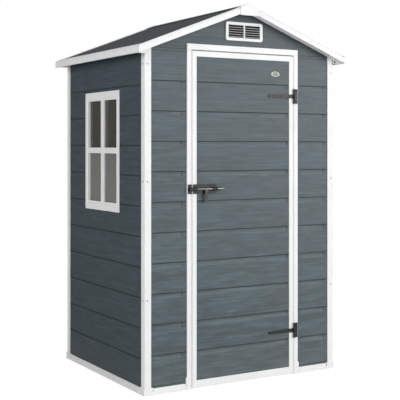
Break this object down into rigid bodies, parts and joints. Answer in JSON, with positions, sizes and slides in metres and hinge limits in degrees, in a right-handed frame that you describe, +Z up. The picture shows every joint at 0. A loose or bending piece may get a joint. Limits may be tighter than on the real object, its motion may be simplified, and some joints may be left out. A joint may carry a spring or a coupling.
{
  "type": "resin garden shed",
  "caption": "Small resin garden shed with a gabled roof, an outward-opening door on strap hinges, a sliding pad bolt, a side window and gable vents.",
  "frame": {"origin": "on the ground, under the middle of the roof's outline", "axes": "+X to the right along the front, +Y from the door to the back, +Z up"},
  "size_m": [1.301, 1.095, 2],
  "materials": {
    "resin_grey": "grey resin moulded with a wood grain, satin",
    "resin_white": "white resin, smooth satin",
    "roof_grey": "dark grey resin, moulded grain",
    "hardware_black": "black powder coat on pressed steel",
    "pane": "clear acrylic sheet",
    "zinc_plate": "zinc-plated steel screws",
    "badge_enamel": "cream enamel on a cast zinc plate"
  },
  "bodies": {
    "root": {"floor_panel": "roof_grey", "base_rail_front_left": "resin_white", "base_rail_front_right": "resin_white", "base_rail_left": "resin_white", "base_rail_right": "resin_white", "base_rail_back": "resin_white", "door_threshold": "resin_white", "corner_post_front_left": "resin_white", "corner_post_front_right": "resin_white", "corner_post_back_left": "resin_white", "corner_post_back_right": "resin_white", "front_wall_left": "resin_grey", "front_wall_right": "resin_grey", "front_gable": "resin_grey", "left_wall": "resin_grey", "right_wall": "resin_grey", "back_wall": "resin_grey", "back_gable": "resin_grey", "door_jamb_left": "resin_white", "door_jamb_right": "resin_white", "door_header": "resin_white", "window_casing": "resin_white", "window_pane": "pane", "front_vent": "resin_white", "back_vent": "resin_white", "roof_panel_left": "roof_grey", "roof_panel_right": "roof_grey", "ridge_cap": "roof_grey", "eave_trim_left": "resin_white", "eave_trim_right": "resin_white", "rake_trim_front_left": "resin_white", "rake_trim_front_right": "resin_white", "rake_trim_back_left": "resin_white", "rake_trim_back_right": "resin_white", "ridge_cover_front": "resin_white", "ridge_cover_back": "resin_white", "hinge_plates": "hardware_black", "bolt_keep": "hardware_black"},
    "door": {"door_edging": "resin_white", "door_panel": "resin_grey", "hinge_straps": "hardware_black", "bolt_plate": "hardware_black"},
    "bolt": {"bolt_rod": "hardware_black"}
  },
  "joints": [
    {"name": "door_hinge", "type": "hinge", "parent": "root", "child": "door", "pos_m": [0.3225, -0.5028, 0], "axis": [0, 0, 1], "range_deg": [0, 150]},
    {"name": "bolt_slide", "type": "slide", "parent": "door", "child": "bolt", "axis": [1, 0, 0], "range_m": [-0.043, 0]}
  ]
}
